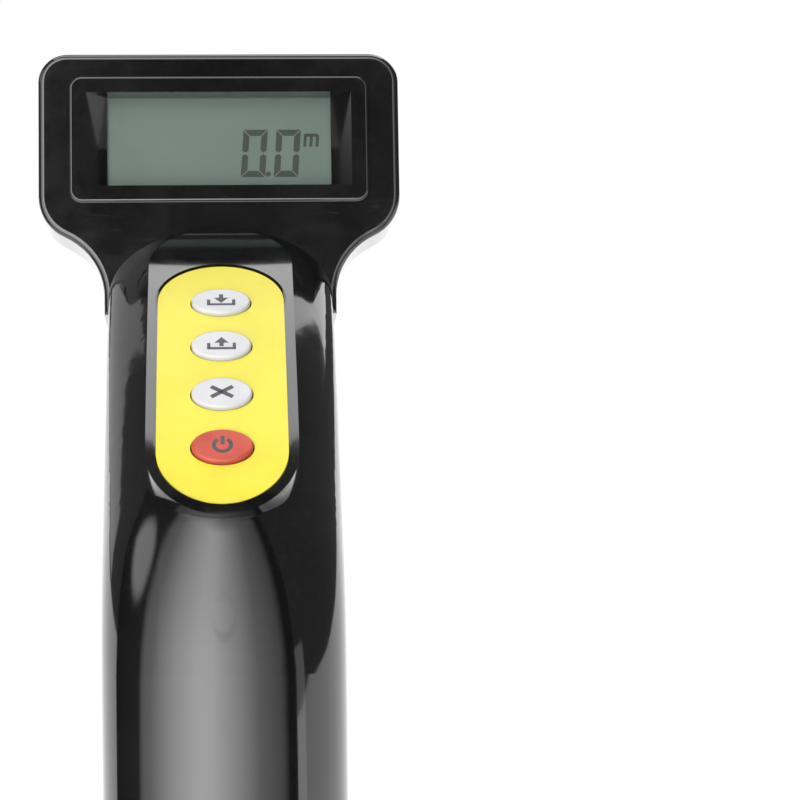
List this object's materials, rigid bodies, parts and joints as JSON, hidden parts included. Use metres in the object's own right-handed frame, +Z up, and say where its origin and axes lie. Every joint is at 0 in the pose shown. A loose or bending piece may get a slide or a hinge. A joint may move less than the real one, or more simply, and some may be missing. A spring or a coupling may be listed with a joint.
{
  "type": "measuring wheel",
  "caption": "Digital distance measuring wheel with a bent handle, tilted display, oval keypad, telescopic pole, fork-held wheel and fold-down wire stand.",
  "frame": {"origin": "point where the tyre touches the ground under the axle", "axes": "+X the user's right, +Y forwards away from the user, +Z up"},
  "size_m": [0.158, 0.3459, 1.0231],
  "materials": {
    "shell_black": "gloss moulded black",
    "keypad_yellow": "satin lemon yellow",
    "key_white": "satin white",
    "key_red": "satin red",
    "clear_window": "clear",
    "lcd_grey": "reflective display grey green",
    "inner_black": "fine matte",
    "zebra_pink": "soft strip",
    "board_green": "solder mask",
    "chip_black": "moulded",
    "part_tan": "ceramic and film parts",
    "plug_white": "natural nylon",
    "spring_steel": "plated",
    "cell_wrap": "printed sleeve",
    "screw_steel": "zinc plated",
    "tube_silver": "satin anodised",
    "tube_black": "powder coated",
    "bush_grey": "acetal",
    "crown_black": "fine grain",
    "lever_yellow": "moulded",
    "arm_black": "powder coated",
    "tyre_rubber": "moulded rubber",
    "wheel_yellow": "moulded",
    "ring_black": "moulded",
    "magnet_nickel": "nickel plated",
    "bearing_steel": "ground",
    "axle_steel": "zinc plated",
    "stand_steel": "bright plated rod",
    "foot_rubber": "matte rubber",
    "lead_black": "sheath"
  },
  "bodies": {
    "frame": {"fork_crown": "crown_black", "fork_arm_left": "arm_black", "fork_arm_right": "arm_black", "fork_bolts": "screw_steel", "crown_screws": "screw_steel", "lower_tube": "tube_black", "mouth_bush": "bush_grey", "clamp_collar": "crown_black", "lever_pin": "screw_steel", "axle": "axle_steel", "axle_nut": "axle_steel", "axle_spacers": "axle_steel", "bearing_inners": "bearing_steel", "sensor_housing": "ring_black", "sensor_board": "board_green", "sensor_screws": "screw_steel", "sensor_lead": "lead_black", "coiled_lead": "lead_black"},
    "wheel": {"tyre": "tyre_rubber", "wheel_body": "wheel_yellow", "magnet_ring": "ring_black", "magnets": "magnet_nickel", "ring_screws": "screw_steel", "bearing_outers": "bearing_steel", "bearing_balls": "bearing_steel"},
    "stand": {"stand_rod": "stand_steel", "stand_sleeve": "foot_rubber", "stand_clips": "screw_steel"},
    "lever": {"clamp_lever": "lever_yellow"},
    "handle": {"battery_cells": "cell_wrap", "battery_contacts": "spring_steel", "battery_tray": "inner_black", "board_parts": "part_tan", "board_posts": "inner_black", "board_screws": "screw_steel", "controller_chip": "chip_black", "display_window": "clear_window", "dome_switches": "spring_steel", "end_collar": "crown_black", "front_shell": "shell_black", "guide_bush": "bush_grey", "handle_lead": "lead_black", "housing_screws": "screw_steel", "keypad_carrier": "inner_black", "keypad_membrane": "board_green", "keypad_plate": "keypad_yellow", "lcd_carrier": "inner_black", "lcd_connector": "zebra_pink", "lcd_panel": "lcd_grey", "lead_plug": "plug_white", "main_board": "board_green", "rear_shell": "shell_black", "socket_screws": "screw_steel", "tube_socket": "inner_black", "upper_tube": "tube_silver"},
    "key_store": {"key_store": "key_white"},
    "key_recall": {"key_recall": "key_white"},
    "key_clear": {"key_clear": "key_white"},
    "key_power": {"key_power": "key_red"},
    "door": {"battery_door": "shell_black"}
  },
  "joints": [
    {"name": "wheel_spin", "type": "hinge", "parent": "frame", "child": "wheel", "pos_m": [0, 0, 0.15915], "axis": [1, 0, 0], "continuous": true},
    {"name": "stand_swing", "type": "hinge", "parent": "frame", "child": "stand", "pos_m": [0, -0.03935, 0.25417], "axis": [-1, 0, 0], "range_deg": [0, 141.32]},
    {"name": "pole_slide", "type": "slide", "parent": "frame", "child": "handle", "axis": [0, 0.1564, -0.9877], "range_m": [0, 0.203], "deforming": ["coiled_lead"]},
    {"name": "lever_swing", "type": "hinge", "parent": "frame", "child": "lever", "pos_m": [0.01246, -0.05102, 0.60259], "axis": [0, 0.1564, -0.9877], "range_deg": [0, 100]},
    {"name": "key_store_press", "type": "slide", "parent": "handle", "child": "key_store", "axis": [0, 0.4832, -0.8755], "range_m": [0, 0.0008], "stiffness_N_per_m": 800},
    {"name": "key_recall_press", "type": "slide", "parent": "handle", "child": "key_recall", "axis": [0, 0.5328, -0.8462], "range_m": [0, 0.0008], "stiffness_N_per_m": 800},
    {"name": "key_clear_press", "type": "slide", "parent": "handle", "child": "key_clear", "axis": [0, 0.5807, -0.8141], "range_m": [0, 0.0008], "stiffness_N_per_m": 800},
    {"name": "key_power_press", "type": "slide", "parent": "handle", "child": "key_power", "axis": [0, 0.6267, -0.7793], "range_m": [0, 0.0008], "stiffness_N_per_m": 800},
    {"name": "door_off", "type": "slide", "parent": "handle", "child": "door", "axis": [0, 0.9949, -0.1005], "range_m": [0, 0.025]}
  ]
}
